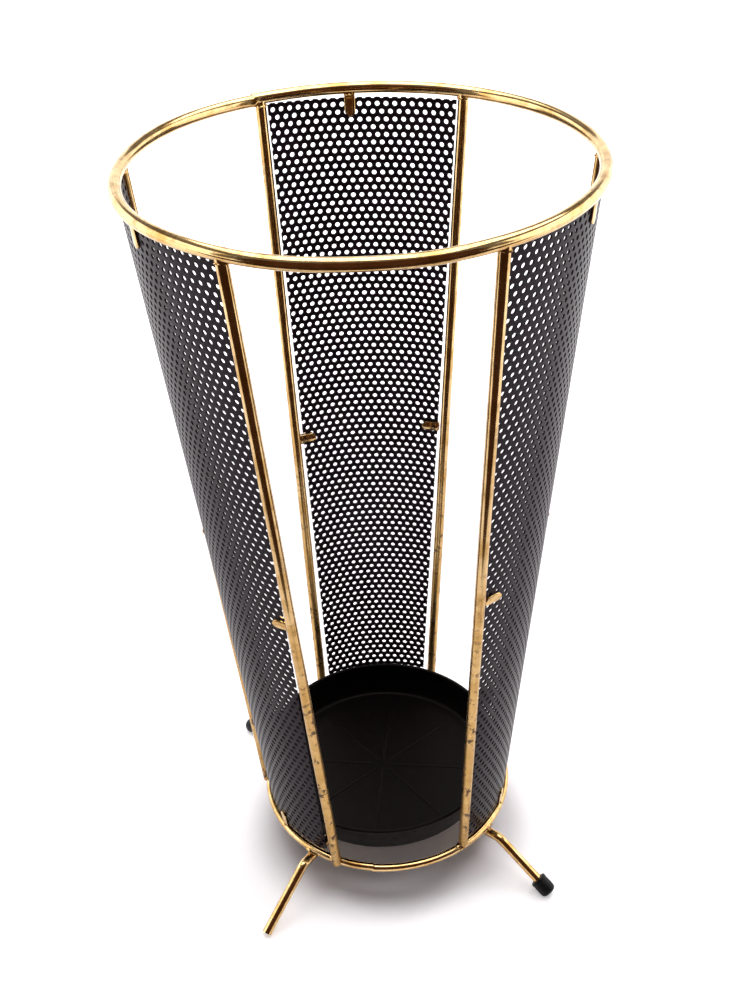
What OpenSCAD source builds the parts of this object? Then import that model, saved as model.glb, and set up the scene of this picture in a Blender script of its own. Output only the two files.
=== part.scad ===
// Umbrella stand: two brass rings joined by six brass rods, with three curved sheets of
// perforated metal held between them by small brass clips. Two bent rods cross under the
// bottom ring and end in four feet. A loose round drip tray lies on the upper cross rod.
// Millimetres, +Z up. The origin is on the floor, on the axis of the rings.

/* [Rings] */
// Centre-line radius of the top ring
top_ring_r = 118; // [110:1:130]
// Wire diameter of the top ring
top_wire_d = 6.5; // [6.5:0.5:8]
// Centre-line radius of the bottom ring
bottom_ring_r = 80; // [80:1:90]
// Wire diameter of the bottom ring
bottom_wire_d = 5; // [4.5:0.5:6]
// Height from the bottom ring's centre plane to the top ring's
ring_rise = 429; // [380:1:500]
// Height of the bottom ring's centre plane above the floor
ring_lift = 34; // [30:1:44]

/* [Rods] */
// Diameter of the upright rods and the foot rods
rod_d = 6; // [5:0.5:6]
// Azimuths, at the top ring, of the rods beside the back panel
back_rods = [60, 117]; // [0:0.5:360]
// Azimuths, at the top ring, of the rods beside the left panel
left_rods = [174.5, 239.5]; // [0:0.5:360]
// Azimuths, at the top ring, of the rods beside the right panel
right_rods = [300, 361]; // [0:0.5:370]
// How far the frame is turned at the bottom ring against the top ring, in degrees
frame_twist = 5.5; // [0:0.5:8]

/* [Panels] */
// Thickness of the perforated sheet
sheet_t = 1; // [0.8:0.1:1.2]
// How far the sheet lies inside the cone through the two rings' centre lines
sheet_inset = 0.8; // [0:0.1:1.5]
// Gap from the top ring's centre plane down to the sheet
sheet_top_gap = 5; // [5:0.5:10]
// Gap from the bottom ring's centre plane up to the sheet
sheet_foot_gap = 4.5; // [4.5:0.5:10]
// Distance from a rod's axis to a sheet's edge, at the top
edge_gap_top = 3.6; // [3.6:0.1:6]
// The same at the bottom, for the two edges of the back panel
back_gaps_foot = [5.4, 5.4]; // [4.4:0.1:8]
// The same at the bottom, for the rear and front edges of the left panel
left_gaps_foot = [5.4, 7.8]; // [4.4:0.1:8]
// The same at the bottom, for the front and rear edges of the right panel
right_gaps_foot = [4.4, 5.4]; // [4.4:0.1:8]

/* [Clips] */
// Width of a clip's strap
clip_w = 6; // [4:0.5:8]
// Thickness of a clip's strap
clip_t = 1; // [0.8:0.1:1.2]
// Length of the clips on the rings
ring_clip_l = 12.5; // [9:0.5:16]
// Length of the clips on the rods
rod_clip_l = 10.5; // [9:0.5:14]
// Azimuths of the clips that hang from the top ring: back, left and right
top_clips = [92, 208.5, 334]; // [64:0.5:356]
// Azimuths, carried up to the top ring, of the clips on the bottom ring: back, left and right
foot_clips = [88.5, 207, 330.5]; // [64:0.5:356]
// Heights above the floor of the clips on the rods beside the back panel: right and left
back_clip_z = [254.5, 250.5]; // [150:0.5:350]
// The same beside the left panel: rear and front
left_clip_z = [250.5, 242.5]; // [150:0.5:350]
// The same beside the right panel: front and rear
right_clip_z = [250.5, 250.5]; // [150:0.5:350]

/* [Feet] */
// Azimuth of the lower foot rod, which ends in the back right and front left feet
foot_turn = 51.5; // [45:0.5:60]
// Reach of a foot from the axis to the end of its rod
foot_reach = 127.5; // [120:0.5:140]
// Slope of a foot below the horizontal, in degrees
foot_slope = 34; // [30:1:40]
// Centre-line radius of the bend above each foot
foot_bend_r = 9; // [8:0.5:12]
// Half the length of the raised middle of the upper foot rod
raised_half = 30; // [20:1:40]
// Outer diameter of a rubber cap
cap_d = 10.5; // [10:0.5:13]
// Length of rod inside a rubber cap
cap_grip = 9; // [8:0.5:14]

/* [Drip tray] */
// Outer radius of the tray at its base
tray_base_r = 71; // [60:1:71]
// How far the tray's wall leans out, in degrees
tray_lean = 16; // [5:1:16]
// Height of the tray
tray_h = 24.5; // [18:0.5:30]
// Thickness of the tray's wall and floor
tray_t = 1.6; // [1.2:0.1:2.5]
// Where the loose tray lies, off the stand's axis
tray_shift = [-2.5, 2]; // [-2.5:0.5:2.5]
// Number of raised ribs on the tray's floor
rib_count = 8; // [4:1:12]

/* [Hidden] */

$fn = 64;
// Metal melted together at a weld or a soldered joint
weld = 0.5;
// A bend is this much fatter than its rod, and the straights reach this far into it
bend_swell = 0.04;
bend_lap = 0.3;
// Length of straight rod between the two bends of a joggle
joggle_run = 2;
// Thickness of a cap's closed end, and the radius of its rounded edge
cap_end_t = 2.5;
// How far the rubber is pressed flat where it meets the floor
cap_flat = 0.8;
// Outer radius of the corner between the tray's floor and wall
tray_corner_r = 4;
// Diameter of the rounded bead along the tray's rim
tray_bead_d = 2.4;
// Gap between the tray and the rod that it lies on
tray_play = 0.3;
// Width, height and azimuth of the tray's ribs, and where they start and end
rib_w = 2;
rib_h = 0.7;
rib_turn = -7;
rib_from = 9;
rib_to = 60;
// A size larger than the whole stand, for cutting
beyond = 1000;

bottom_z = ring_lift;
top_z = ring_lift + ring_rise;
cone_tilt = atan((top_ring_r - bottom_ring_r) / ring_rise);
rod_top_z = top_z - 0.8;
// Radius and height of a rod's lower end: a little proud outside the bottom ring, or on top of it
foot_outside = [bottom_ring_r + 1.5, bottom_z - 1.5];
foot_on_top = [bottom_ring_r, bottom_z + bottom_wire_d / 2 - weld];
foot_rod_z = bottom_z - bottom_wire_d / 2 - rod_d / 2 + weld;
// Bend radius and angle of the two joggles in the upper foot rod
joggle_r = 9.6;
joggle_turn = 40;
raised_z = foot_rod_z + 2 * joggle_r * (1 - cos(joggle_turn)) + joggle_run * sin(joggle_turn);
cap_rod_end_z = (cap_d / 2 - cap_end_t) * cos(foot_slope) + cap_end_t - cap_flat;
bare_rod_end_z = rod_d / 2 * cos(foot_slope);
tray_z = raised_z + rod_d / 2 + tray_play;

// Radius of the cone through the rings' centre lines, at height z
function cone_r(z) = bottom_ring_r + (top_ring_r - bottom_ring_r) * (z - bottom_z) / ring_rise;
// Azimuth at height z of a line that leaves the top ring at azimuth az
function turned(az, z) = az + frame_twist * (top_z - z) / ring_rise;
function spot(r, az, z) = [r * cos(az), r * sin(az), z];
function unit(v) = v / norm(v);
function degrees(arc, r) = arc / r * 180 / PI;

// A straight round bar from point a to point b
module bar(a, b, d) {
  run = b - a;
  translate(a)
    rotate([0, acos(run.z / norm(run)), atan2(run.y, run.x)])
      cylinder(h = norm(run), d = d);
}

// A bent piece of rod in the XZ plane, around centre, from angle start through turn degrees
module elbow(centre, bend_r, start, turn) {
  translate([centre.x, 0, centre[1]])
    rotate([90, 0, 0])
      rotate([0, 0, start])
        rotate_extrude(angle = turn)
          translate([bend_r, 0])
            circle(d = rod_d + bend_swell);
}

// A straight piece of rod in the XZ plane, with its ends inside the bends next to it
module straight(a, b, lap_a = bend_lap, lap_b = bend_lap) {
  along = unit(b - a);
  low = a - lap_a * along;
  high = b + lap_b * along;
  bar([low.x, 0, low[1]], [high.x, 0, high[1]], rod_d);
}

module wire_ring(r, d) {
  rotate_extrude($fn = 180)
    translate([r, 0])
      circle(d = d);
}

module top_ring() {
  color("goldenrod")
    translate([0, 0, top_z])
      wire_ring(top_ring_r, top_wire_d);
}

module bottom_ring() {
  color("goldenrod")
    translate([0, 0, bottom_z])
      wire_ring(bottom_ring_r, bottom_wire_d);
}

module upright(az, low = foot_outside) {
  color("darkgoldenrod")
    bar(
      spot(low[0], az + frame_twist, low[1]),
      spot(top_ring_r, az, rod_top_z),
      rod_d
    );
}

// Half of space on one side of a sheet's edge: side 1 keeps higher azimuths, -1 lower ones.
// The edge runs beside the rod that leaves the top ring at azimuth az.
module beside_edge(az, side, gap_foot) {
  low = spot(bottom_ring_r, az + frame_twist + side * degrees(gap_foot, bottom_ring_r), bottom_z);
  high = spot(top_ring_r, az + side * degrees(edge_gap_top, top_ring_r), top_z);
  along = unit(high - low);
  across = unit(cross(along, unit([low.x + high.x, low.y + high.y, 0])));
  out = cross(across, along);
  multmatrix([
    [out.x, across.x, along.x, low.x],
    [out.y, across.y, along.y, low.y],
    [out.z, across.z, along.z, low.z],
    [0, 0, 0, 1]
  ])
    translate([-beyond / 2, side > 0 ? 0 : -beyond, -beyond / 2])
      cube([beyond, beyond, 2 * beyond]);
}

// The sheet is drawn solid here, with its holes left out
module panel(rods, gaps_foot) {
  low_z = bottom_z + sheet_foot_gap;
  high_z = top_z - sheet_top_gap;
  half_t = sheet_t / cos(cone_tilt) / 2;
  low_r = cone_r(low_z) - sheet_inset;
  high_r = cone_r(high_z) - sheet_inset;
  color("dimgray")
    intersection() {
      rotate_extrude($fn = 180)
        polygon([
          [low_r - half_t, low_z],
          [low_r + half_t, low_z],
          [high_r + half_t, high_z],
          [high_r - half_t, high_z]
        ]);
      beside_edge(rods[0], 1, gaps_foot[0]);
      beside_edge(rods[1], -1, gaps_foot[1]);
    }
}

// The U section of a clip, pinched on the sheet: its bend touches y = 0 and its legs run to +Y
module clip_section(length) {
  inner_r = sheet_t / 2;
  outer_r = inner_r + clip_t;
  difference() {
    union() {
      translate([0, outer_r])
        circle(r = outer_r);
      translate([-outer_r, outer_r])
        square([2 * outer_r, length - outer_r]);
    }
    translate([0, outer_r])
      circle(r = inner_r);
    translate([-inner_r, outer_r])
      square([2 * inner_r, length]);
  }
}

// A clip with its bend at the origin and its legs along +Z, one on each side of the sheet
module clip(length) {
  color("gold")
    intersection() {
      rotate([90, 0, 0])
        translate([0, 0, -clip_w / 2])
          linear_extrude(height = clip_w)
            clip_section(length);
      rotate([0, 90, 0])
        translate([0, 0, -clip_w])
          union() {
            translate([-(length - clip_w / 2), -clip_w / 2, 0])
              cube([length - clip_w / 2, clip_w, 2 * clip_w]);
            translate([-(length - clip_w / 2), 0, 0])
              cylinder(h = 2 * clip_w, d = clip_w);
          }
    }
}

// Puts its children on the sheet's middle surface: X out of it, Y round it, Z up it
module on_sheet(az, z) {
  rotate([0, 0, turned(az, z)])
    translate([cone_r(z) - sheet_inset, 0, z])
      rotate([0, cone_tilt, 0])
        children();
}

module clip_top(az) {
  on_sheet(az, top_z - top_wire_d / 2 + weld)
    rotate([180, 0, 0])
      clip(ring_clip_l);
}

module clip_foot(az) {
  on_sheet(az, bottom_z + bottom_wire_d / 2 - weld)
    clip(ring_clip_l);
}

// side 1 is a clip that reaches from a rod towards higher azimuths, -1 towards lower ones.
// It lies along the curved sheet at the middle of its own length.
module clip_side(az, side, z) {
  reach = rod_d / 2 - 1.2 * weld + rod_clip_l / 2;
  on_sheet(az + side * degrees(reach, cone_r(z)), z)
    translate([0, -side * rod_clip_l / 2, 0])
      rotate([-side * 90, 0, 0])
        clip(rod_clip_l);
}

// The bend above a foot starts at this distance from the axis
function bend_x() = foot_reach - foot_run() - foot_bend_r * sin(foot_slope);
function foot_drop() = foot_rod_z - cap_rod_end_z - foot_bend_r * (1 - cos(foot_slope));
function foot_run() = foot_drop() / tan(foot_slope);

// One bend and foot in the XZ plane. A foot with no cap is longer, and ends at end_z.
module foot(end_z) {
  knee = [foot_reach - foot_run(), cap_rod_end_z + foot_drop()];
  tip = [foot_reach + (cap_rod_end_z - end_z) / tan(foot_slope), end_z];
  elbow([bend_x(), foot_rod_z - foot_bend_r], foot_bend_r, 90 - foot_slope, foot_slope);
  straight(knee, tip, lap_b = 0);
}

module foot_rod_lower() {
  color("goldenrod")
    rotate([0, 0, foot_turn]) {
      straight([-bend_x(), foot_rod_z], [bend_x(), foot_rod_z]);
      foot(cap_rod_end_z);
      mirror([1, 0, 0])
        foot(bare_rod_end_z);
    }
}

// Half of the upper foot rod beyond its raised middle: the joggle down, and the foot
module upper_end() {
  bend_l = joggle_r * sin(joggle_turn);
  bend_h = joggle_r * (1 - cos(joggle_turn));
  high = [raised_half + bend_l, raised_z - bend_h];
  low = high + joggle_run * [cos(joggle_turn), -sin(joggle_turn)];
  elbow([raised_half, raised_z - joggle_r], joggle_r, 90 - joggle_turn, joggle_turn);
  straight(high, low);
  elbow([low.x + bend_l, foot_rod_z + joggle_r], joggle_r, -90 - joggle_turn, joggle_turn);
  straight([low.x + bend_l, foot_rod_z], [bend_x(), foot_rod_z]);
  foot(cap_rod_end_z);
}

module foot_rod_upper() {
  color("goldenrod")
    rotate([0, 0, foot_turn + 90]) {
      straight([-raised_half, raised_z], [raised_half, raised_z]);
      upper_end();
      mirror([1, 0, 0])
        upper_end();
    }
}

// A cap on the end of a foot rod, cut off level with the floor where the rubber is pressed
module cap(az) {
  color("black")
    intersection() {
      rotate([0, 0, az])
        translate([foot_reach, 0, cap_rod_end_z])
          rotate([0, 90 + foot_slope, 0])
            rotate_extrude()
              cap_section();
      translate([-beyond / 2, -beyond / 2, 0])
        cube(beyond);
    }
}

module cap_section() {
  difference() {
    union() {
      translate([0, -cap_grip])
        square([cap_d / 2, cap_grip]);
      square([cap_d / 2 - cap_end_t, cap_end_t]);
      intersection() {
        translate([cap_d / 2 - cap_end_t, 0])
          circle(r = cap_end_t);
        square(cap_d);
      }
    }
    translate([0, -cap_grip])
      square([rod_d / 2, cap_grip]);
  }
}

function unit_at(angle) = [cos(angle), sin(angle)];

// Points on an arc, from angle low to angle high
function arc(centre, r, low, high) =
  let (steps = ceil(abs(high - low) / 10))
    [for (i = [0 : steps]) centre + r * unit_at(low + (high - low) * i / steps)];

// Section of the tray: floor, rounded corner, leaning wall and beaded rim
module tray_section() {
  corner = [tray_base_r - tray_corner_r, tray_corner_r];
  wall_l = (tray_h - tray_corner_r - tray_bead_d / 2) / cos(tray_lean);
  wall_middle = tray_corner_r - tray_t / 2;
  bead = corner + wall_middle * unit_at(-tray_lean) + wall_l * unit_at(90 - tray_lean);
  // Where the bead meets the wall, seen from its own centre
  meet = acos(tray_t / tray_bead_d);
  polygon(concat(
    [[0, 0]],
    arc(corner, tray_corner_r, -90, -tray_lean),
    arc(bead, tray_bead_d / 2, -tray_lean - meet, 180 - tray_lean + meet),
    arc(corner, tray_corner_r - tray_t, -tray_lean, -90),
    [[0, tray_t]]
  ));
}

module drip_tray() {
  color("black")
    translate([tray_shift.x, tray_shift.y, tray_z]) {
      rotate_extrude($fn = 180)
        tray_section();
      for (i = [0 : rib_count - 1])
        rotate([0, 0, rib_turn + i * 360 / rib_count])
          translate([rib_from, -rib_w / 2, tray_t / 2])
            cube([rib_to - rib_from, rib_w, tray_t / 2 + rib_h]);
    }
}

top_ring();
bottom_ring();
upright(back_rods[0]);  // rod_back_right
upright(back_rods[1]);  // rod_back_left
upright(left_rods[0]);  // rod_left_rear
upright(left_rods[1]);  // rod_left_front
upright(right_rods[0], foot_on_top);  // rod_right_front
upright(right_rods[1]);  // rod_right_rear
panel(back_rods, back_gaps_foot);  // panel_back
panel(left_rods, left_gaps_foot);  // panel_left
panel(right_rods, right_gaps_foot);  // panel_right
clip_top(top_clips[0]);  // clip_back_top
clip_foot(foot_clips[0]);  // clip_back_foot
clip_side(back_rods[0], 1, back_clip_z[0]);  // clip_back_right
clip_side(back_rods[1], -1, back_clip_z[1]);  // clip_back_left
clip_top(top_clips[1]);  // clip_left_top
clip_foot(foot_clips[1]);  // clip_left_foot
clip_side(left_rods[0], 1, left_clip_z[0]);  // clip_left_rear
clip_side(left_rods[1], -1, left_clip_z[1]);  // clip_left_front
clip_top(top_clips[2]);  // clip_right_top
clip_foot(foot_clips[2]);  // clip_right_foot
clip_side(right_rods[0], 1, right_clip_z[0]);  // clip_right_front
clip_side(right_rods[1], -1, right_clip_z[1]);  // clip_right_rear
foot_rod_lower();
foot_rod_upper();
cap(foot_turn);  // cap_back_right
cap(foot_turn + 90);  // cap_back_left
cap(foot_turn + 270);  // cap_front_right
drip_tray();
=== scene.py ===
"""The looks of an umbrella stand: brass rings, rods and clips, perforated black sheets, a black
drip tray and rubber caps, around the CAD frame. Metres, +Z up, in the frame's own axes."""

import math

import bmesh
import bpy
import numpy as np
from mathutils import Matrix, Vector, noise


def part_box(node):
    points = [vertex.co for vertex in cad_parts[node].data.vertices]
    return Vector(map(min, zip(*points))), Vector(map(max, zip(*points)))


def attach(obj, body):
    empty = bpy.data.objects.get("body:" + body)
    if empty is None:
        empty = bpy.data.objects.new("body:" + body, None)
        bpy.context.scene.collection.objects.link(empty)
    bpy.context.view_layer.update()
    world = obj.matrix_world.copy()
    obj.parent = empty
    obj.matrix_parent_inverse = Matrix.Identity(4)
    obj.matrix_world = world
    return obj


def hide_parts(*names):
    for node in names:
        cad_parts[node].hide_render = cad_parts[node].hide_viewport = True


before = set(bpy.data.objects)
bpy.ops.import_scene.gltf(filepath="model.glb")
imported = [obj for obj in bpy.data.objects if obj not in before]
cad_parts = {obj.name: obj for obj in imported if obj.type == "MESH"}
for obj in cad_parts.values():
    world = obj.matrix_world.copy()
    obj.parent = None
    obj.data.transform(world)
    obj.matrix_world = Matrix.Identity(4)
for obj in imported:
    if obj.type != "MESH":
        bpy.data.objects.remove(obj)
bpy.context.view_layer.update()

MM = 0.001

# Camera, as the photograph was taken
CAMERA_PLACE = (0.0, -0.5842, 0.6753)
CAMERA_PITCH = math.radians(35.28)  # down from the horizon
CAMERA_ROLL = math.radians(-2.59)
CAMERA_LENS = 44.55
SENSOR_HEIGHT = 36.0

# Perforated sheet, sitting just inside the rings' centre lines
SHEET_INSET = 0.8 * MM
HOLE_D = 2.8 * MM
PITCH = 5.0 * MM
ROW_STEP = PITCH * math.sqrt(3) / 2
HOLE_SIDES_PER_SECTOR = 3  # a hole has six sectors
SHEET_T = 1.0 * MM
# How the pattern lies on each sheet: the azimuth, in degrees, of the line that its columns follow,
# its offset round the stand, and the distance from the top ring's plane down to its first full row
PATTERN = {
    "panel_back": (78.04, 2.93 * MM, 8.86 * MM),
    "panel_left": (200.75, 3.12 * MM, 10.37 * MM),
    "panel_right": (329.7, 2.07 * MM, 7.11 * MM),
}

# Clips
CLIP_W = 6.0 * MM
CLIP_T = 1.0 * MM
RING_CLIP_L = 12.5 * MM
ROD_CLIP_L = 10.5 * MM
WELD = 0.5 * MM

# Feet
FOOT_SLOPE = math.radians(34)
FOOT_REACH = 127.5 * MM
CAP_R = 5.25 * MM
CAP_GRIP = 9.0 * MM
CAP_END = 2.5 * MM  # radius of the rounding at its end
CAP_PRESSED = 0.8 * MM

# Tray
TRAY_T = 1.6 * MM
TRAY_LEAN = math.radians(16)
TRAY_CORNER_R = 4.0 * MM
TRAY_BEAD_R = 1.2 * MM
RIB_COUNT = 8
RIB_TURN = math.radians(-7)
RIB_W = 1.7 * MM
RIB_H = 0.5 * MM
RIB_FROM = 4 * MM
RIB_TO = 60 * MM

RODS = (
    "rod_back_right",
    "rod_back_left",
    "rod_left_rear",
    "rod_left_front",
    "rod_right_front",
    "rod_right_rear",
)
PANELS = ("panel_back", "panel_left", "panel_right")
FOOT_RODS = ("foot_rod_lower", "foot_rod_upper")
CAPS = ("cap_back_right", "cap_back_left", "cap_front_right")
RING_CLIPS = tuple(
    f"clip_{side}_{end}" for side in ("back", "left", "right") for end in ("top", "foot")
)
ROD_CLIPS = {
    "clip_back_right": "rod_back_right",
    "clip_back_left": "rod_back_left",
    "clip_left_rear": "rod_left_rear",
    "clip_left_front": "rod_left_front",
    "clip_right_front": "rod_right_front",
    "clip_right_rear": "rod_right_rear",
}


# ---------------------------------------------------------------- the frame's own measures


def ring_measures(node):
    """(centre-line radius, centre height, wire radius) of a ring."""
    low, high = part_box(node)
    wire_r = (high[2] - low[2]) / 2
    return (high[0] - low[0]) / 2 - wire_r, (high[2] + low[2]) / 2, wire_r


def cad_vertices(node):
    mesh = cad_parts[node].data
    places = np.empty(len(mesh.vertices) * 3)
    mesh.vertices.foreach_get("co", places)
    return places.reshape(-1, 3)


def rod_ends(node):
    """The centres of a straight rod's lower and upper ends."""
    places = cad_vertices(node)
    middle = (places[:, 2].min() + places[:, 2].max()) / 2
    return (
        Vector(places[places[:, 2] < middle].mean(axis=0)),
        Vector(places[places[:, 2] > middle].mean(axis=0)),
    )


def azimuth(place):
    return math.atan2(place[1], place[0])


TOP_R, TOP_Z, TOP_WIRE = ring_measures("top_ring")
BOTTOM_R, BOTTOM_Z, BOTTOM_WIRE = ring_measures("bottom_ring")
ROD_R = 3.0 * MM
CONE_TILT = math.atan((TOP_R - BOTTOM_R) / (TOP_Z - BOTTOM_Z))


def sheet_radius(z):
    """Radius of the sheets' middle surface at height z."""
    share = (z - BOTTOM_Z) / (TOP_Z - BOTTOM_Z)
    return BOTTOM_R + (TOP_R - BOTTOM_R) * share - SHEET_INSET


def on_sheet(az, z):
    """The frame on a sheet: X out of it, Y round it, Z up it."""
    place = Matrix.Translation((sheet_radius(z), 0, z)) @ Matrix.Rotation(CONE_TILT, 4, "Y")
    return Matrix.Rotation(az, 4, "Z") @ place


# ---------------------------------------------------------------- materials


class Shader:
    """A Principled material, with short calls that add nodes. Object coordinates are metres."""

    def __init__(self, name, **values):
        self.material = bpy.data.materials.new(name)
        self.material.use_nodes = True
        self.tree = self.material.node_tree
        self.tree.nodes.clear()
        self.bsdf = self.add("ShaderNodeBsdfPrincipled", **values)
        output = self.add("ShaderNodeOutputMaterial")
        self.tree.links.new(self.bsdf.outputs[0], output.inputs["Surface"])
        self.place = self.add("ShaderNodeTexCoord").outputs["Object"]

    def add(self, kind, settings=None, **inputs):
        """A node with its settings and its inputs, where _ in a name stands for a space."""
        made = self.tree.nodes.new(kind)
        for key, value in (settings or {}).items():
            setattr(made, key, value)
        for key, value in inputs.items():
            self.give(made.inputs[key.replace("_", " ")], value)
        return made

    def give(self, socket, value):
        if isinstance(value, bpy.types.NodeSocket):
            self.tree.links.new(value, socket)
        else:
            socket.default_value = value

    def noise(self, size, detail=3.0, roughness=0.5, place=None):
        """Noise from 0 to 1 with features of about that size, in metres."""
        made = self.add(
            "ShaderNodeTexNoise",
            Vector=place or self.place,
            Scale=1 / size,
            Detail=detail,
            Roughness=roughness,
        )
        return made.outputs["Fac"]

    def math(self, operation, a, b=0.0):
        made = self.add("ShaderNodeMath", {"operation": operation})
        self.give(made.inputs[0], a)
        self.give(made.inputs[1], b)
        return made.outputs[0]

    def between(self, value, low, high, out_low=0.0, out_high=1.0):
        """value mapped from low..high to out_low..out_high, smoothly and held at its ends."""
        made = self.add(
            "ShaderNodeMapRange",
            {"interpolation_type": "SMOOTHSTEP"},
            Value=value,
            From_Min=low,
            From_Max=high,
            To_Min=out_low,
            To_Max=out_high,
        )
        return made.outputs["Result"]

    def mix(self, share, a, b):
        """Colour a where share is 0 and b where it is 1."""
        made = self.add("ShaderNodeMix", {"data_type": "RGBA"})
        self.give(made.inputs["Factor"], share)
        self.give(made.inputs[6], a)
        self.give(made.inputs[7], b)
        return made.outputs[2]

    def height(self):
        return self.add("ShaderNodeSeparateXYZ", Vector=self.place).outputs["Z"]

    def reach(self):
        """Distance from the stand's upright axis."""
        axes = self.add("ShaderNodeSeparateXYZ", Vector=self.place).outputs
        squares = [self.math("POWER", axes[name], 2.0) for name in ("X", "Y")]
        return self.math("SQRT", self.math("ADD", *squares))

    def bump(self, value, depth, strength=1.0):
        made = self.add("ShaderNodeBump", Height=value, Distance=depth, Strength=strength)
        self.give(self.bsdf.inputs["Normal"], made.outputs["Normal"])


BRASS = (0.50, 0.292, 0.088, 1)
BRASS_PALE = (0.71, 0.49, 0.230, 1)
BRASS_DULL = (0.25, 0.128, 0.045, 1)
RUST = (0.095, 0.040, 0.014, 1)
PAINT = (0.0070, 0.0036, 0.0058, 1)
PAINT_CLOUDED = (0.0120, 0.0066, 0.0100, 1)
PLASTIC = (0.0020, 0.0013, 0.0012, 1)
PLASTIC_SCUFFED = (0.0042, 0.0030, 0.0028, 1)
RUBBER = (0.0020, 0.0020, 0.0026, 1)
RUBBER_WORN = (0.0085, 0.0080, 0.0085, 1)


def drawn_place(s, along_ring):
    """A place for noise that is stretched along the wire: round the rings, or up the rods."""
    axes = s.add("ShaderNodeSeparateXYZ", Vector=s.place).outputs
    mean_r = 0.1
    turn = s.math("MULTIPLY", s.math("ARCTAN2", axes["Y"], axes["X"]), mean_r)
    squeeze = 0.03
    if along_ring:
        values = (s.reach(), s.math("MULTIPLY", turn, squeeze), axes["Z"])
    else:
        lean = s.math("MULTIPLY", axes["Z"], math.tan(CONE_TILT))
        off_cone = s.math("SUBTRACT", s.reach(), lean)
        values = (off_cone, turn, s.math("MULTIPLY", axes["Z"], squeeze))
    return s.add("ShaderNodeCombineXYZ", X=values[0], Y=values[1], Z=values[2]).outputs["Vector"]


def brass(name, along_ring=False, streak_depth=0.02 * MM, dull_below=None, stained=0.0):
    """Brass wire with tarnish and streaks along it. dull_below gives the heights between which
    it turns dull, with rust spots. stained is how dark the flux patches are that solder leaves."""
    s = Shader(name)
    tarnish = s.between(s.noise(16 * MM, 5.0, 0.62), 0.40, 0.68)
    streaks = s.noise(0.9 * MM, 3.0, 0.55, drawn_place(s, along_ring))
    colour = s.mix(tarnish, BRASS_PALE, BRASS)
    colour = s.mix(s.between(streaks, 0.50, 0.75, 0.0, 0.5), colour, BRASS_DULL)
    blotches = s.between(s.noise(6 * MM, 5.0, 0.65), 0.53, 0.70, 0.0, 0.55)
    colour = s.mix(blotches, colour, BRASS_DULL)
    rough = s.between(streaks, 0.3, 0.75, 0.08, 0.18)
    rough = s.math("ADD", rough, s.math("MULTIPLY", blotches, 0.12))
    metal = 1.0
    if stained:
        stain = s.between(s.noise(2.2 * MM, 4.0, 0.6), 0.47, 0.60, 0.0, stained)
        colour = s.mix(stain, colour, RUST)
        rough = s.math("ADD", rough, s.math("MULTIPLY", stain, 0.4))
    if dull_below:
        low, high = dull_below
        dull = s.between(s.height(), low, high, 1.0, 0.0)
        patch = s.math("MULTIPLY", dull, s.between(s.noise(9 * MM), 0.25, 0.6, 0.55, 1.0))
        rough = s.math("ADD", rough, s.math("MULTIPLY", patch, 0.24))
        colour = s.mix(s.math("MULTIPLY", patch, 0.8), colour, BRASS)
        spots = s.between(s.noise(3.6 * MM, 3.0, 0.55), 0.57, 0.60)
        where = s.between(s.noise(15 * MM, 2.0), 0.44, 0.54)
        rust = s.math("MULTIPLY", s.math("MULTIPLY", spots, where), dull)
        near_foot = s.between(s.height(), 0.035, 0.09, 0.5, 0.0)
        grime = s.math("MULTIPLY", near_foot, s.between(s.noise(1.8 * MM, 4.0, 0.6), 0.46, 0.60))
        rust = s.math("MAXIMUM", rust, grime)
        colour = s.mix(rust, colour, RUST)
        rough = s.math("ADD", rough, s.math("MULTIPLY", rust, 0.4))
        metal = s.math("SUBTRACT", 1.0, rust)
    s.give(s.bsdf.inputs["Base Color"], colour)
    s.give(s.bsdf.inputs["Roughness"], rough)
    s.give(s.bsdf.inputs["Metallic"], metal)
    s.bump(streaks, streak_depth)
    return s.material


def black_paint():
    """Stoved satin black on steel sheet, faintly purple, with a fine orange peel."""
    s = Shader("black_paint", IOR=1.17, Specular_Tint=(1.0, 0.82, 0.96, 1))
    cloud = s.between(s.noise(30 * MM, 4.0), 0.35, 0.7)
    grain = s.noise(0.9 * MM, 3.0, 0.6)
    s.give(s.bsdf.inputs["Base Color"], s.mix(cloud, PAINT, PAINT_CLOUDED))
    s.give(s.bsdf.inputs["Roughness"], s.between(grain, 0.3, 0.7, 0.26, 0.34))
    s.bump(grain, 0.018 * MM)
    return s.material


def tray_plastic():
    """Moulded black plastic: slightly glossy and scuffed."""
    s = Shader("tray_plastic", IOR=1.17, Specular_Tint=(1.0, 0.88, 0.86, 1))
    scuff = s.between(s.noise(5 * MM, 6.0, 0.7), 0.5, 0.75)
    s.give(s.bsdf.inputs["Base Color"], s.mix(scuff, PLASTIC, PLASTIC_SCUFFED))
    s.give(s.bsdf.inputs["Roughness"], s.between(scuff, 0.0, 1.0, 0.42, 0.58))
    s.bump(s.noise(0.6 * MM, 3.0, 0.6), 0.02 * MM)
    return s.material


def cap_rubber():
    """Dull black rubber, greyed where it is worn."""
    s = Shader("cap_rubber", IOR=1.25)
    wear = s.between(s.noise(1.5 * MM, 4.0, 0.65), 0.5, 0.75)
    s.give(s.bsdf.inputs["Base Color"], s.mix(wear, RUBBER, RUBBER_WORN))
    s.give(s.bsdf.inputs["Roughness"], s.between(wear, 0.0, 1.0, 0.45, 0.75))
    s.bump(s.noise(0.5 * MM, 3.0), 0.05 * MM)
    return s.material


# ---------------------------------------------------------------- mesh helpers


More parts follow.
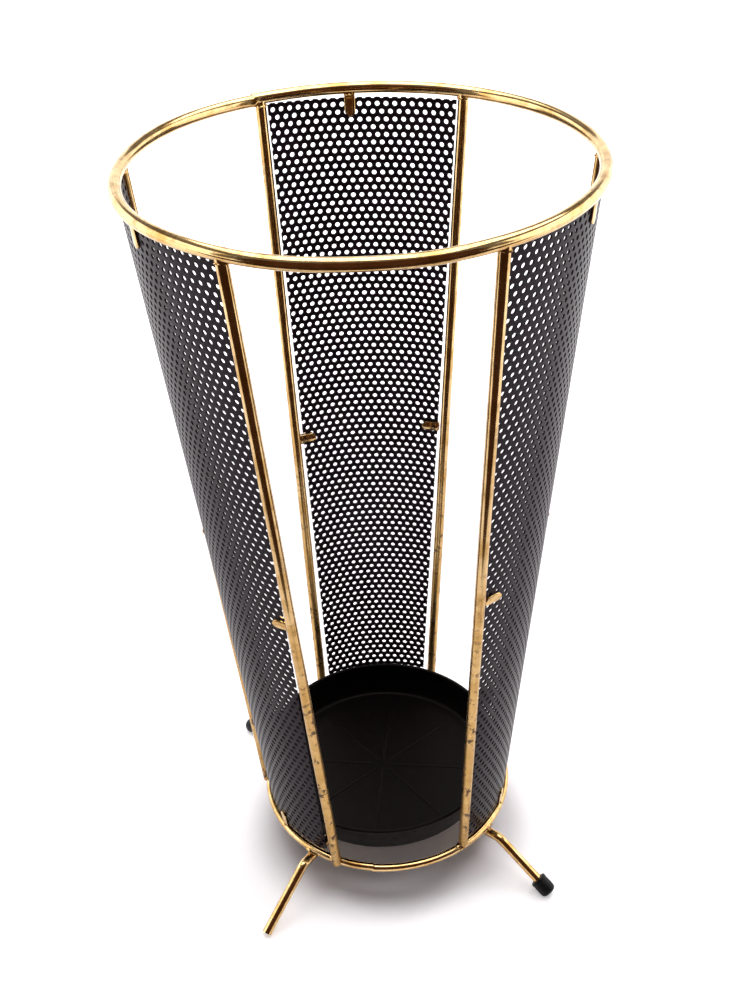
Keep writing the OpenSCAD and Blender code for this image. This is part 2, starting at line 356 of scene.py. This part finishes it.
def piece(name, vertices, faces, material, slot, body="stand", replaces=(), sharp=40):
    """A smooth-shaded mesh piece that rides on a body."""
    mesh = bpy.data.meshes.new(name)
    mesh.from_pydata([tuple(v) for v in vertices], [], faces)
    mesh.validate()
    made = bpy.data.objects.new(name, mesh)
    bpy.context.scene.collection.objects.link(made)
    mesh.materials.append(material)
    mesh.shade_smooth()
    mesh.set_sharp_from_angle(angle=math.radians(sharp))
    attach(made, body)
    if replaces:
        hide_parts(*replaces)
    return made


def join_loops(count, sides, closed):
    """Quads between count loops of so many sides each."""
    faces = []
    for i in range(count if closed else count - 1):
        here, there = i * sides, (i + 1) % count * sides
        for j in range(sides):
            k = (j + 1) % sides
            faces.append((here + j, here + k, there + k, there + j))
    return faces


def tube(points, radii, sides=28, closed=False):
    """(vertices, faces) of a round tube along points. An open tube has flat ends."""
    points = [Vector(p) for p in points]
    count = len(points)
    across = None
    vertices = []
    for i, p in enumerate(points):
        before = points[i - 1] if i or closed else p
        after = points[(i + 1) % count] if i < count - 1 or closed else p
        along = (after - before).normalized()
        if across is None:
            across = along.cross(Vector((0, 0, 1)))
            if across.length < 0.1:
                across = Vector((1, 0, 0))
        across = (across - along * across.dot(along)).normalized()
        up = along.cross(across)
        for j in range(sides):
            turn = 2 * math.pi * j / sides
            vertices.append(p + radii[i] * (math.cos(turn) * across + math.sin(turn) * up))
    faces = join_loops(count, sides, closed)
    if not closed:
        faces.append(tuple(reversed(range(sides))))
        faces.append(tuple(range((count - 1) * sides, count * sides)))
    return vertices, faces


def lathe(profile, sides=96):
    """(vertices, faces) of (radius, height) points turned about Z. The ends lie on the axis."""
    inner = profile[1:-1]
    vertices = []
    for r, z in inner:
        for j in range(sides):
            turn = 2 * math.pi * j / sides
            vertices.append(Vector((r * math.cos(turn), r * math.sin(turn), z)))
    faces = join_loops(len(inner), sides, False)
    first, last = len(vertices), len(vertices) + 1
    vertices += [Vector((0, 0, profile[0][1])), Vector((0, 0, profile[-1][1]))]
    top = (len(inner) - 1) * sides
    for j in range(sides):
        k = (j + 1) % sides
        faces.append((first, k, j))
        faces.append((last, top + j, top + k))
    return vertices, faces


def arc(centre, r, low, high, steps=8):
    """Points on an arc, from angle low to angle high, in degrees."""
    turns = [math.radians(low + (high - low) * i / steps) for i in range(steps + 1)]
    return [(centre[0] + r * math.cos(t), centre[1] + r * math.sin(t)) for t in turns]


def moved(vertices, matrix):
    return [matrix @ Vector(v) for v in vertices]


def merged(*shapes):
    """Several (vertices, faces) as one."""
    vertices, faces = [], []
    for more_vertices, more_faces in shapes:
        start = len(vertices)
        vertices += list(more_vertices)
        faces += [tuple(start + i for i in face) for face in more_faces]
    return vertices, faces


def wobble(place, size, depth, seed):
    """A smooth random step of up to about depth, with features of about that size."""
    return noise.noise_vector(Vector(place) / size + Vector((seed, 0, 0))) * depth


# ---------------------------------------------------------------- rings and rods

RING_STEPS = 720
SEAM_AZ = {"top_ring": math.radians(119), "bottom_ring": math.radians(262)}


def ring(node, material):
    """A ring bent by hand from wire. Its ends are welded a little out of line."""
    r, z, wire_r = ring_measures(node)
    points, radii = [], []
    seam_half, step, settles = 1.4 * MM, 0.4 * MM, 14 * MM
    for i in range(RING_STEPS):
        az = 2 * math.pi * i / RING_STEPS
        place = Vector((r * math.cos(az), r * math.sin(az), z))
        off = math.remainder(az - SEAM_AZ[node], 2 * math.pi) * r
        place.z -= math.copysign(step, off) * math.exp(-abs(off) / settles)
        points.append(place + wobble(place, 45 * MM, 0.35 * MM, 3.0))
        radii.append(wire_r + 0.22 * MM * math.exp(-((off / seam_half) ** 2)))
    vertices, faces = tube(points, radii, sides=40, closed=True)
    name = node.replace("_", "_wire_")
    return piece(name, vertices, faces, material, "polished_brass", replaces=(node,))


def rod(node, material):
    """An upright rod: nearly straight, with the edges of its lower end rounded off."""
    low, high = rod_ends(node)
    steps = 44
    points, radii = [], []
    for i in range(steps + 1):
        place = low.lerp(high, i / steps)
        points.append(place + wobble(place, 60 * MM, 0.18 * MM, 7.0))
        radii.append(ROD_R)
    along = (high - low).normalized()
    edge = 0.6 * MM
    points.insert(1, points[0] + along * edge)
    radii[0] = ROD_R - edge
    radii.insert(1, ROD_R)
    vertices, faces = tube(points, radii)
    name = node.replace("rod_", "upright_")
    return piece(name, vertices, faces, material, "worn_brass", replaces=(node,))


# ---------------------------------------------------------------- perforated sheets


def flat_sheet(corners, phase, first_row):
    """A flat perforated sheet as a bmesh: hexagons with round holes, cut off along the outline."""
    flat = bmesh.new()
    corner_r = PITCH / math.sqrt(3)
    low_u, high_u = min(c.x for c in corners) - PITCH, max(c.x for c in corners) + PITCH
    low_v, high_v = min(c.y for c in corners) - PITCH, max(c.y for c in corners) + PITCH
    first = math.floor((low_v - first_row) / ROW_STEP)
    last = math.ceil((high_v - first_row) / ROW_STEP)
    sides = HOLE_SIDES_PER_SECTOR
    for row in range(first, last + 1):
        v = first_row + row * ROW_STEP
        shift = phase + (row % 2) * PITCH / 2
        first_column = math.floor((low_u - shift) / PITCH)
        last_column = math.ceil((high_u - shift) / PITCH)
        for column in range(first_column, last_column + 1):
            centre = Vector((shift + column * PITCH, v, 0))
            for sector in range(6):
                start = math.radians(30 + 60 * sector)
                turns = [start + math.radians(60) * i / sides for i in range(sides + 1)]
                points = [centre + corner_r * unit(turn) for turn in (turns[0], turns[-1])]
                points += [centre + HOLE_D / 2 * unit(turn) for turn in reversed(turns)]
                flat.faces.new([flat.verts.new(p) for p in points])
    bmesh.ops.remove_doubles(flat, verts=flat.verts, dist=0.02 * MM)
    middle = sum(corners, Vector((0, 0, 0))) / len(corners)
    for i, corner in enumerate(corners):
        edge = corners[(i + 1) % len(corners)] - corner
        outward = Vector((edge.y, -edge.x, 0)).normalized()
        if outward.dot(middle - corner) > 0:
            outward.negate()
        bmesh.ops.bisect_plane(
            flat,
            geom=flat.verts[:] + flat.edges[:] + flat.faces[:],
            dist=1e-7,
            plane_co=corner,
            plane_no=outward,
            clear_outer=True,
        )
    bmesh.ops.remove_doubles(flat, verts=flat.verts, dist=0.02 * MM)
    return flat


def unit(turn):
    return Vector((math.cos(turn), math.sin(turn), 0))


def edge_turns(node, upper, centre):
    """Lowest and highest azimuth of a panel's upper or lower edge, counted from centre."""
    places = cad_vertices(node)
    edge_z = places[:, 2].max() if upper else places[:, 2].min()
    edge = places[abs(places[:, 2] - edge_z) < 0.05 * MM]
    turns = [math.remainder(azimuth(p) - centre, 2 * math.pi) for p in edge]
    return min(turns), max(turns), edge_z


def panel(node, material):
    """A trapezium of perforated sheet, rolled to a cone. Flat U runs round it, V down it."""
    degrees_round, phase, first_row = PATTERN[node]
    centre = math.radians(degrees_round)
    low_top, high_top, top_edge_z = edge_turns(node, True, centre)
    low_foot, high_foot, foot_edge_z = edge_turns(node, False, centre)
    taper = math.sin(CONE_TILT)
    apex_to_top = sheet_radius(TOP_Z) / taper

    def flattened(turn, z):
        rho = apex_to_top - (TOP_Z - z) / math.cos(CONE_TILT)
        return Vector((rho * math.sin(turn * taper), apex_to_top - rho * math.cos(turn * taper), 0))

    corners = [
        flattened(low_top, top_edge_z),
        flattened(high_top, top_edge_z),
        flattened(high_foot, foot_edge_z),
        flattened(low_foot, foot_edge_z),
    ]
    # The cuts along the top and the foot follow the rows, and meet the CAD's edges half way along
    top_y = flattened((low_top + high_top) / 2, top_edge_z).y
    foot_y = flattened((low_foot + high_foot) / 2, foot_edge_z).y
    for corner, y in zip(corners, (top_y, top_y, foot_y, foot_y)):
        corner.y = y
    flat = flat_sheet(corners, phase, first_row)
    flat.verts.index_update()
    flat_places = np.array([v.co[:2] for v in flat.verts])
    count = len(flat_places)
    u, down = flat_places[:, 0], apex_to_top - flat_places[:, 1]
    rho = np.hypot(u, down)
    az = centre + np.arctan2(u, down) / taper
    sides = []
    for offset in (SHEET_T / 2, -SHEET_T / 2):
        r = rho * taper + offset * math.cos(CONE_TILT)
        z = TOP_Z - (apex_to_top - rho) * math.cos(CONE_TILT) - offset * math.sin(CONE_TILT)
        sides.append(np.stack([r * np.cos(az), r * np.sin(az), z], axis=1))
    faces = []
    for face in flat.faces:
        loop = [v.index for v in face.verts]
        if face.normal.z > 0:
            loop.reverse()
        faces.append(loop)
        faces.append([i + count for i in reversed(loop)])
    for edge in flat.edges:
        if len(edge.link_faces) != 1:
            continue
        face = edge.link_faces[0]
        loop = [v.index for v in face.verts]
        a, b = edge.verts[0].index, edge.verts[1].index
        if loop[(loop.index(a) + 1) % len(loop)] != b:
            a, b = b, a
        if face.normal.z > 0:
            a, b = b, a
        faces.append([b, a, a + count, b + count])
    flat.free()
    name = node.replace("panel_", "perforated_sheet_")
    vertices = np.concatenate(sides)
    return piece(name, vertices, faces, material, "black_sheet", replaces=(node,), sharp=35)


# ---------------------------------------------------------------- clips


def strap(path, width, thickness, tip_steps=6):
    """A strap along path, a list of (point, outward direction) in the XZ plane, with its width
    along Y, a crowned outer face, bevelled edges and half-round tips."""
    bevel = 0.22 * thickness
    half_t, half_w = thickness / 2, width / 2
    crown = 0.3 * thickness
    flat_w = half_w - bevel
    across = [flat_w * share for share in (1.0, 0.67, 0.33, 0.0, -0.33, -0.67, -1.0)]
    section = [(half_t - bevel, -half_w)]
    section += [(half_t + crown * (1 - (w / flat_w) ** 2), w) for w in reversed(across)]
    section += [(half_t - bevel, half_w), (-half_t + bevel, half_w)]
    section += [(-half_t, flat_w), (-half_t, -flat_w), (-half_t + bevel, -half_w)]
    lengths = [0.0]
    for (a, _), (b, _) in zip(path, path[1:]):
        lengths.append(lengths[-1] + (b - a).length)
    total = lengths[-1]
    vertices = []
    for (point, out), run in zip(path, lengths):
        from_tip = min(run, total - run)
        narrow = 1.0
        if from_tip < half_w:
            narrow = math.sqrt(max(0.0, 1 - (1 - from_tip / half_w) ** 2))
        narrow = max(narrow, 0.12)
        for t, w in section:
            vertices.append(point + out * t + Vector((0, w * narrow, 0)))
    count = len(path)
    faces = join_loops(count, len(section), False)
    faces.append(tuple(reversed(range(len(section)))))
    faces.append(tuple(range((count - 1) * len(section), count * len(section))))
    return vertices, faces


def fork(length, splay_out, splay_in):
    """A clip: its bend at the origin, its two legs up Z, one on each side of the sheet."""
    bend_r = SHEET_T / 2 + CLIP_T / 2
    bend_z = bend_r + CLIP_T / 2
    tip_rows = [0, 0.04, 0.1, 0.2, 0.35, 0.6, 1.0]
    half_w = CLIP_W / 2
    leg = [length - half_w * share for share in tip_rows]
    leg += [bend_z + (leg[-1] - bend_z) * share for share in (0.66, 0.33, 0.0)]

    def leg_points(side, splay):
        made = []
        for z in leg:
            lift = splay * max(0.0, (z - bend_z) / (length - bend_z)) ** 2
            made.append((Vector((side * (bend_r + lift), 0, z)), Vector((side, 0, 0))))
        return made

    outer = leg_points(1, splay_out)
    inner = leg_points(-1, splay_in)
    bend = []
    for i in range(1, 8):
        turn = math.pi * i / 8
        out = Vector((math.cos(turn), 0, -math.sin(turn)))
        bend.append((Vector((0, 0, bend_z)) + out * bend_r, out))
    return strap(outer + bend + inner[::-1], CLIP_W, CLIP_T)


def ring_clip(node, material):
    """A clip that hangs from the top ring or stands on the bottom one."""
    low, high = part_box(node)
    az = azimuth([(a + b) / 2 for a, b in zip(low, high)])
    vertices, faces = fork(RING_CLIP_L, 0.12 * MM, 0.18 * MM)
    if node.endswith("_top"):
        place = on_sheet(az, TOP_Z - TOP_WIRE + WELD) @ Matrix.Rotation(math.pi, 4, "X")
    else:
        place = on_sheet(az, BOTTOM_Z + BOTTOM_WIRE - WELD)
    name = node.replace("clip_", "fork_")
    return piece(name, moved(vertices, place), faces, material, "polished_brass", replaces=(node,))


def rod_clip(node, material):
    """A clip that reaches from a rod to the sheet beside it."""
    low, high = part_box(node)
    middle = [(a + b) / 2 for a, b in zip(low, high)]
    foot, top = rod_ends(ROD_CLIPS[node])
    beside = foot.lerp(top, (middle[2] - foot.z) / (top.z - foot.z))
    side = 1 if math.remainder(azimuth(middle) - azimuth(beside), 2 * math.pi) > 0 else -1
    vertices, faces = fork(ROD_CLIP_L, 0.6 * MM, 1.5 * MM)
    place = on_sheet(azimuth(middle), middle[2])
    place = place @ Matrix.Translation((0, -side * ROD_CLIP_L / 2, 0))
    place = place @ Matrix.Rotation(-side * math.pi / 2, 4, "X")
    name = node.replace("clip_", "fork_")
    return piece(name, moved(vertices, place), faces, material, "polished_brass", replaces=(node,))


# ---------------------------------------------------------------- solder


def bead(centre, size, seed):
    """(vertices, faces) of a lump of solder: an uneven, flattened drop."""
    lump = bmesh.new()
    bmesh.ops.create_icosphere(lump, subdivisions=3, radius=1.0)
    vertices = []
    for v in lump.verts:
        uneven = 1 + 0.3 * noise.noise(v.co * 1.6 + Vector((seed, 0, 0)))
        vertices.append(Vector(centre) + Vector(s * c * uneven for s, c in zip(size, v.co)))
    lump.verts.index_update()
    faces = [tuple(v.index for v in face.verts) for face in lump.faces]
    lump.free()
    return vertices, faces


def solder(material, stained_material):
    """Beads of braze and solder where rods, rings, feet and clips meet."""
    top, bottom = [], []
    for i, node in enumerate(RODS):
        low, high = rod_ends(node)
        along = (high - low).normalized()
        top.append(bead(high - along * 2.7 * MM, (3.35 * MM, 3.35 * MM, 1.2 * MM), i * 5.3))
        beside = Matrix.Rotation(azimuth(low) - 2.6 * MM / BOTTOM_R, 4, "Z")
        on_ring = (BOTTOM_R, 0, BOTTOM_Z + 0.9 * MM)
        vertices, faces = bead(on_ring, (2.7 * MM, 4.4 * MM, 2.3 * MM), i * 3.1)
        bottom.append((moved(vertices, beside), faces))
    for node in RING_CLIPS:
        low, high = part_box(node)
        az = azimuth([(a + b) / 2 for a, b in zip(low, high)])
        at_top = node.endswith("_top")
        z = TOP_Z - TOP_WIRE + 0.2 * MM if at_top else BOTTOM_Z + BOTTOM_WIRE - 0.2 * MM
        place = on_sheet(az, z).translation
        (top if at_top else bottom).append(bead(place, (2.4 * MM, 2.4 * MM, 1.1 * MM), az * 7))
    feet = [azimuth([(a + b) / 2 for a, b in zip(*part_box(node))]) for node in CAPS]
    feet.append(feet[0] + math.pi)  # the bare end, straight across from the first cap
    for i, az in enumerate(feet):
        turn = Matrix.Rotation(az, 4, "Z")
        under_ring = (BOTTOM_R, 0, BOTTOM_Z - 1.2 * MM)
        vertices, faces = bead(under_ring, (3.1 * MM, 5.8 * MM, 2.9 * MM), 20 + i * 2.7)
        bottom.append((moved(vertices, turn), faces))
    piece("solder_top", *merged(*top), material, "polished_brass")
    piece("solder_bottom", *merged(*bottom), stained_material, "polished_brass")


# ---------------------------------------------------------------- caps and tray


def cap(node, material):
    """A push-on rubber tip with a lip at its mouth, pressed flat where it stands."""
    low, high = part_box(node)
    az = azimuth([(a + b) / 2 for a, b in zip(low, high)])
    bore_r, lip_r = ROD_R + 0.15 * MM, CAP_R + 0.1 * MM
    profile = [(0, -CAP_GRIP + 3 * MM), (bore_r, -CAP_GRIP + 3 * MM)]
    profile += [(bore_r, -CAP_GRIP + 0.4 * MM), (bore_r + 0.4 * MM, -CAP_GRIP)]
    profile += arc((lip_r - 0.6 * MM, -CAP_GRIP + 0.6 * MM), 0.6 * MM, -90, 0, 4)
    profile += arc((lip_r - 0.6 * MM, -CAP_GRIP + 1.8 * MM), 0.6 * MM, 0, 60, 3)
    profile += [(CAP_R, -CAP_GRIP + 3.2 * MM), (CAP_R + 0.1 * MM, -2 * MM), (CAP_R, -0.4 * MM)]
    profile += arc((CAP_R - CAP_END, 0), CAP_END, 0, 90, 8)
    profile += [(0, CAP_END)]
    vertices, faces = lathe(profile, 56)
    end = foot_end()
    tilt = Matrix.Rotation(math.pi / 2 + FOOT_SLOPE, 4, "Y")
    place = Matrix.Rotation(az, 4, "Z") @ Matrix.Translation(end) @ tilt
    vertices = moved(vertices, place)
    for v in vertices:
        v.z = max(v.z, 0.0)
    name = node.replace("cap_", "rubber_tip_")
    return piece(name, vertices, faces, material, "black_rubber", replaces=(node,), sharp=60)


def foot_end():
    """(reach, 0, height) of the end of the rod in a cap, in the foot's own plane."""
    height = (CAP_R - CAP_END) * math.cos(FOOT_SLOPE) + CAP_END - CAP_PRESSED
    return (FOOT_REACH, 0, height)


def rib(az, base_z):
    """A low rounded rib on the tray's floor, with tapered ends, sunk a little into the floor."""
    steps, across = 24, 8
    loops = []
    for i in range(steps + 1):
        share = i / steps
        x = RIB_FROM + (RIB_TO - RIB_FROM) * share
        swell = min(1.0, 14 * share, 14 * (1 - share)) ** 0.5
        half = RIB_W / 2 * (0.25 + 0.75 * swell)
        for j in range(across + 1):
            turn = math.pi * j / across
            z = base_z + RIB_H * swell * math.sin(turn)
            loops.append(Vector((x, half * math.cos(turn), z)))
        loops.append(Vector((x, 0, base_z - 0.4 * MM)))
    sides = across + 2
    faces = join_loops(steps + 1, sides, False)
    faces.append(tuple(reversed(range(sides))))
    faces.append(tuple(range(steps * sides, (steps + 1) * sides)))
    return moved(loops, Matrix.Rotation(az, 4, "Z")), faces


def tray(material):
    """The drip tray: a moulded dish with a leaning wall, a rolled rim and ribs on its floor."""
    low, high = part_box("drip_tray")
    centre = Vector(((low[0] + high[0]) / 2, (low[1] + high[1]) / 2, low[2]))
    height = high[2] - low[2]
    lean = math.degrees(TRAY_LEAN)
    run = (height - TRAY_CORNER_R - TRAY_BEAD_R) / math.cos(TRAY_LEAN)
    out = Vector((math.sin(TRAY_LEAN), math.cos(TRAY_LEAN)))
    wall_middle = TRAY_CORNER_R - TRAY_T / 2
    rim_r = (high[0] - low[0]) / 2 - TRAY_BEAD_R
    corner_x = rim_r - wall_middle * math.cos(TRAY_LEAN) - run * out.x
    corner = (corner_x, TRAY_CORNER_R)
    bead_at = (rim_r, height - TRAY_BEAD_R)
    meet = math.degrees(math.acos(TRAY_T / 2 / TRAY_BEAD_R))
    foot_r = corner_x - 9 * MM
    profile = [(0, 0.6 * MM), (foot_r, 0.6 * MM), (foot_r + 1 * MM, 0.0)]
    profile += arc(corner, TRAY_CORNER_R, -90, -lean, 10)
    profile += arc(bead_at, TRAY_BEAD_R, -lean - meet, 180 - lean + meet, 14)
    profile += arc(corner, TRAY_CORNER_R - TRAY_T, -lean, -90, 8)
    profile += [(corner_x - 1.5 * MM, TRAY_T), (0, TRAY_T)]
    shapes = [lathe(profile, 180)]
    shapes += [rib(RIB_TURN + 2 * math.pi * i / RIB_COUNT, TRAY_T) for i in range(RIB_COUNT)]
    vertices, faces = merged(*shapes)
    vertices = moved(vertices, Matrix.Translation(centre))
    replaced = ("drip_tray",)
    return piece("tray_dish", vertices, faces, material, "black_tray", "tray", replaced, sharp=50)


# ---------------------------------------------------------------- stage, light and camera


def flat_card(name, corners, material):
    mesh = bpy.data.meshes.new(name)
    mesh.from_pydata(corners, [], [tuple(range(4))])
    mesh.materials.append(material)
    made = bpy.data.objects.new(name, mesh)
    bpy.context.scene.collection.objects.link(made)
    return made


def floor():
    """A pale floor with a painted glow: it shines a little by itself just outside the stand's
    shadow, so that it looks white, has a painted darker ring from 0.16 m to 0.30 m out, and shines
    more further away, where only the brass shows it."""
    s = Shader("floor", Base_Color=(0.94, 0.895, 0.93, 1), Roughness=0.9, Specular_IOR_Level=0.1)
    reach = s.reach()
    glow = s.between(reach, 0.074, 0.11, 0.0, 0.42)
    # painted light and shade: glow rises with distance from the stand, and the -0.2 step is a
    # painted darker ring
    for low, high, more in ((0.16, 0.30, -0.2), (0.35, 0.85, 0.75), (0.85, 4.0, 0.5)):
        glow = s.math("ADD", glow, s.between(reach, low, high, 0.0, more))
    s.give(s.bsdf.inputs["Emission Color"], (1, 1, 1, 1))
    s.give(s.bsdf.inputs["Emission Strength"], glow)
    half = 8.0
    corners = [(-half, -half, 0), (half, -half, 0), (half, half, 0), (-half, half, 0)]
    flat_card("floor", corners, s.material)


def reflected_card(name, corners, colour, glow=0.0):
    """A card that only reflections show."""
    s = Shader(name, Base_Color=colour, Roughness=1.0, Specular_IOR_Level=0.0)
    s.give(s.bsdf.inputs["Emission Color"], (1, 1, 1, 1))
    s.give(s.bsdf.inputs["Emission Strength"], glow)
    card = flat_card(name, corners, s.material)
    card.visible_camera = False
    card.visible_diffuse = False
    card.visible_shadow = False
    card.visible_transmission = False


def surroundings():
    """Painted reflections: dim cards that only reflections show, one laid on the floor in front and
    one upright beyond it, for a dark reflection of the room in front; and glowing white cards
    beside and behind, which show only in reflections, for the white walls of the light tent.
    """
    half, near, far, height, lift = 1.5, -0.33, -1.1, 1.7, 2 * MM
    dim = (0.060, 0.026, 0.014, 1)
    front = [(-half, far, lift), (half, far, lift), (half, near, lift), (-half, near, lift)]
    wall = [(-half, far, lift), (half, far, lift), (half, far, height), (-half, far, height)]
    # painted dark reflection: dim cards that only reflections show
    reflected_card("dark_floor", front, dim)
    reflected_card("dark_wall", wall, dim)
    reach, back, top, white = 1.5, 2.2, 1.5, (0.9, 0.9, 0.9, 1)
    # painted reflections: glowing white cards that only reflections show
    for side, name in ((-1, "white_left"), (1, "white_right")):
        x = side * reach
        places = [(x, -0.7, 0.05), (x, back, 0.05), (x, back, top), (x, -0.7, top)]
        reflected_card(name, places, white, 1.2)
    places = [(-reach, back, 0.05), (reach, back, 0.05), (reach, back, top), (-reach, back, top)]
    reflected_card("white_back", places, white, 0.75)


def backdrop():
    """White walls far behind the floor on all sides, which only the camera sees."""
    black, white = (0, 0, 0, 1), (1, 1, 1, 1)
    s = Shader("backdrop", Base_Color=black, Emission_Color=white, Emission_Strength=1.0)
    half, low, high = 7.9, 0.0, 12.0
    ends = [(-half, -half), (half, -half), (half, half), (-half, half)]
    for i, (a, b) in enumerate(zip(ends, ends[1:] + ends[:1])):
        corners = [(*a, low), (*b, low), (*b, high), (*a, high)]
        card = flat_card(f"backdrop_{i}", corners, s.material)
        card.visible_glossy = False
        card.visible_diffuse = False
        card.visible_shadow = False


def softbox(name, place, aim, size, radiance):
    """A rectangular light. radiance is what a mirror would show of it."""
    light = bpy.data.lights.new(name, "AREA")
    light.shape = "RECTANGLE"
    light.size, light.size_y = size
    light.energy = radiance * size[0] * size[1] * math.pi
    made = bpy.data.objects.new(name, light)
    bpy.context.scene.collection.objects.link(made)
    made.location = place
    made.rotation_euler = (Vector(aim) - Vector(place)).to_track_quat("-Z", "Y").to_euler()
    made.visible_camera = False


def lights():
    world = bpy.data.worlds.new("studio")
    world.use_nodes = True
    background = world.node_tree.nodes["Background"]
    background.inputs["Color"].default_value = (1.0, 0.99, 1.0, 1)
    background.inputs["Strength"].default_value = 0.25
    bpy.context.scene.world = world
    softbox("light_above", (0.1, 0.35, 1.9), (0, 0, 0.2), (2.0, 1.8), 4.0)


def camera():
    data = bpy.data.cameras.new("camera")
    data.sensor_fit = "VERTICAL"
    data.sensor_height = SENSOR_HEIGHT
    data.lens = CAMERA_LENS
    made = bpy.data.objects.new("camera", data)
    bpy.context.scene.collection.objects.link(made)
    ahead = Matrix.Rotation(math.pi / 2 - CAMERA_PITCH, 4, "X")
    roll = Matrix.Rotation(CAMERA_ROLL, 4, "Z")
    made.matrix_world = Matrix.Translation(CAMERA_PLACE) @ ahead @ roll
    bpy.context.scene.camera = made


# ---------------------------------------------------------------- the whole stand

camera()
lights()
floor()
surroundings()
backdrop()
bpy.context.scene.view_settings.view_transform = "Standard"

bright = brass("bright_brass", along_ring=True)
clip_brass = brass("clip_brass", along_ring=True, streak_depth=0.004 * MM)
worn = brass("worn_brass", dull_below=(0.12, 0.28))
paint = black_paint()
for node in ("top_ring", "bottom_ring"):
    ring(node, bright)
for node in RODS:
    rod(node, worn)
for node in FOOT_RODS:
    for material_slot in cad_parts[node].material_slots:
        material_slot.material = bright
for node in PANELS:
    panel(node, paint)
for node in RING_CLIPS:
    ring_clip(node, clip_brass)
for node in ROD_CLIPS:
    rod_clip(node, clip_brass)
solder(clip_brass, brass("solder_brass", streak_depth=0.004 * MM, stained=0.85))
rubber = cap_rubber()
for node in CAPS:
    cap(node, rubber)
tray(tray_plastic())
